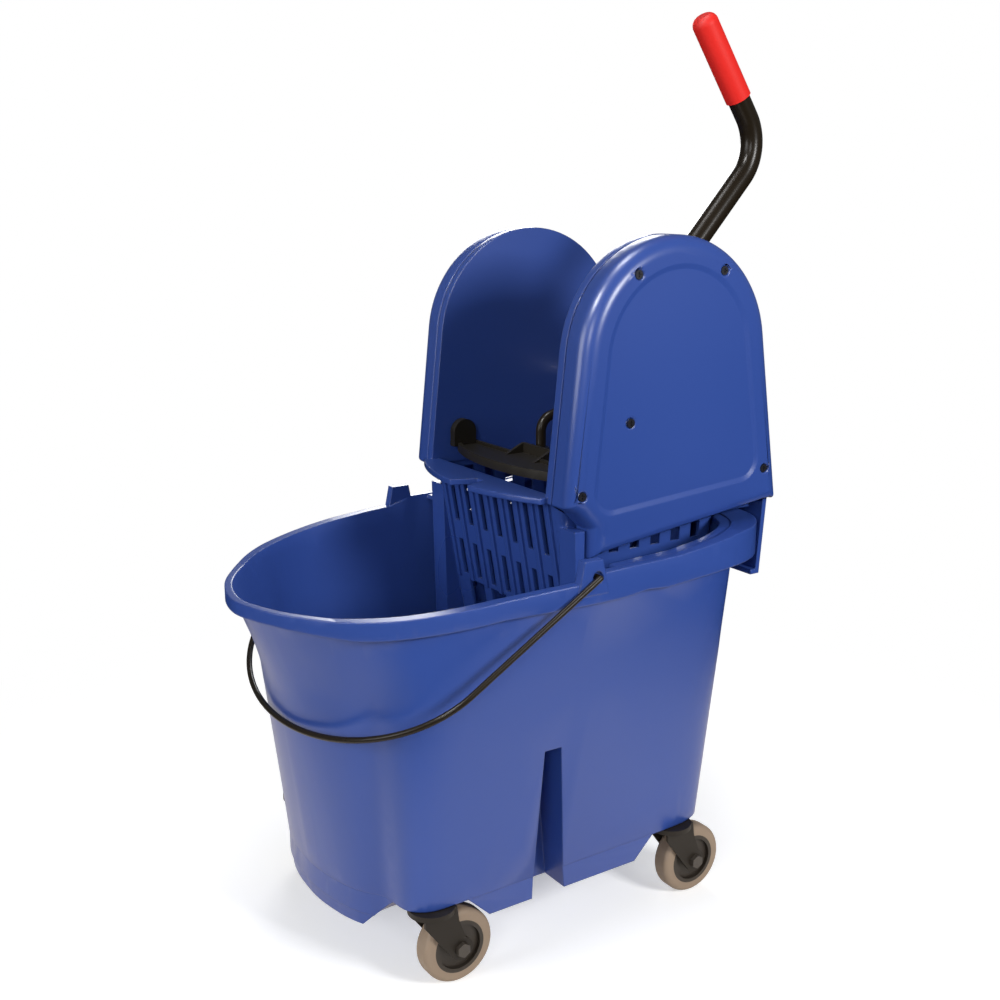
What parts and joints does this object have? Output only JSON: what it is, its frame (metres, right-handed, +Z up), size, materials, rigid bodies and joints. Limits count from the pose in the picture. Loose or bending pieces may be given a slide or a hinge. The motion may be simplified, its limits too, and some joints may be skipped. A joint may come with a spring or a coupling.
{
  "type": "mop bucket with wringer",
  "caption": "Mop bucket with pouring spout on swivel casters, with wire bail and a lift-off wringer whose bent hand lever presses a plate down into a slotted basket.",
  "frame": {"origin": "centre of the overall box at floor level", "axes": "+Z up, +X towards the wringer end, -X towards the pouring spout, -Y the lever side"},
  "size_m": [0.5607, 0.391, 0.9167],
  "materials": {
    "blue_plastic": "moulded, glossy",
    "press_plastic": "moulded, satin",
    "gear_plastic": "moulded, satin",
    "bearing_plastic": "moulded, satin",
    "red_grip": "soft vinyl, satin",
    "black_steel": "black gloss coat",
    "fork_black": "black coat, satin",
    "hub_plastic": "moulded, satin",
    "tyre_rubber": "grey-beige, matt",
    "steel": "zinc plated",
    "screw_steel": "dark coat"
  },
  "bodies": {
    "bucket": {"bucket_shell": "blue_plastic", "caster_sockets": "steel"},
    "bail": {"bail_wire": "black_steel"},
    "wringer": {"wringer_frame": "blue_plastic", "left_cover": "blue_plastic", "right_cover": "blue_plastic", "cover_screws": "screw_steel", "shaft_bushings": "bearing_plastic"},
    "lever": {"lever_shaft": "steel", "lever_pinion": "gear_plastic", "lever_clip": "steel", "lever_tube": "black_steel", "lever_hub": "black_steel", "lever_bolt": "steel", "lever_grip": "red_grip"},
    "press": {"cross_shaft": "steel", "shaft_pin": "steel", "press_gear": "gear_plastic", "shaft_clips": "steel", "press_yoke": "black_steel", "press_plate": "press_plastic", "yoke_bolts": "steel"},
    "front_left_swivel": {"front_left_fork": "fork_black", "front_left_stem": "steel", "front_left_axle": "steel"},
    "front_left_wheel": {"front_left_hub": "hub_plastic", "front_left_tyre": "tyre_rubber"},
    "front_right_swivel": {"front_right_fork": "fork_black", "front_right_stem": "steel", "front_right_axle": "steel"},
    "front_right_wheel": {"front_right_hub": "hub_plastic", "front_right_tyre": "tyre_rubber"},
    "rear_left_swivel": {"rear_left_fork": "fork_black", "rear_left_stem": "steel", "rear_left_axle": "steel"},
    "rear_left_wheel": {"rear_left_hub": "hub_plastic", "rear_left_tyre": "tyre_rubber"},
    "rear_right_swivel": {"rear_right_fork": "fork_black", "rear_right_stem": "steel", "rear_right_axle": "steel"},
    "rear_right_wheel": {"rear_right_hub": "hub_plastic", "rear_right_tyre": "tyre_rubber"}
  },
  "joints": [
    {"name": "wringer_lift", "type": "slide", "parent": "bucket", "child": "wringer", "axis": [0, 0, 1], "range_m": [0, 0.36]},
    {"name": "lever_swing", "type": "hinge", "parent": "wringer", "child": "lever", "pos_m": [0.134, -0.092, 0.598], "axis": [0, 1, 0], "range_deg": [-60, 80]},
    {"name": "press_swing", "type": "hinge", "parent": "wringer", "child": "press", "pos_m": [0.18698, 0, 0.54158], "axis": [0, 1, 0], "range_deg": [-40, 30]},
    {"name": "bail_swing", "type": "hinge", "parent": "bucket", "child": "bail", "pos_m": [0.0072, 0, 0.3967], "axis": [0, 1, 0], "range_deg": [0, 112]},
    {"name": "front_left_turn", "type": "hinge", "parent": "bucket", "child": "front_left_swivel", "pos_m": [-0.15, -0.142, 0.08], "axis": [0, 0, 1], "continuous": true},
    {"name": "front_left_roll", "type": "hinge", "parent": "front_left_swivel", "child": "front_left_wheel", "pos_m": [-0.125, -0.142, 0.038], "axis": [0, 1, 0], "continuous": true},
    {"name": "front_right_turn", "type": "hinge", "parent": "bucket", "child": "front_right_swivel", "pos_m": [-0.15, 0.142, 0.08], "axis": [0, 0, 1], "continuous": true},
    {"name": "front_right_roll", "type": "hinge", "parent": "front_right_swivel", "child": "front_right_wheel", "pos_m": [-0.125, 0.142, 0.038], "axis": [0, 1, 0], "continuous": true},
    {"name": "rear_left_turn", "type": "hinge", "parent": "bucket", "child": "rear_left_swivel", "pos_m": [0.15, -0.1385, 0.08], "axis": [0, 0, 1], "continuous": true},
    {"name": "rear_left_roll", "type": "hinge", "parent": "rear_left_swivel", "child": "rear_left_wheel", "pos_m": [0.175, -0.1385, 0.038], "axis": [0, 1, 0], "continuous": true},
    {"name": "rear_right_turn", "type": "hinge", "parent": "bucket", "child": "rear_right_swivel", "pos_m": [0.15, 0.1385, 0.08], "axis": [0, 0, 1], "continuous": true},
    {"name": "rear_right_roll", "type": "hinge", "parent": "rear_right_swivel", "child": "rear_right_wheel", "pos_m": [0.175, 0.1385, 0.038], "axis": [0, 1, 0], "continuous": true}
  ],
  "couplings": [
    {"joint": "press_swing", "follows": "lever_swing", "ratio": -0.5}
  ]
}
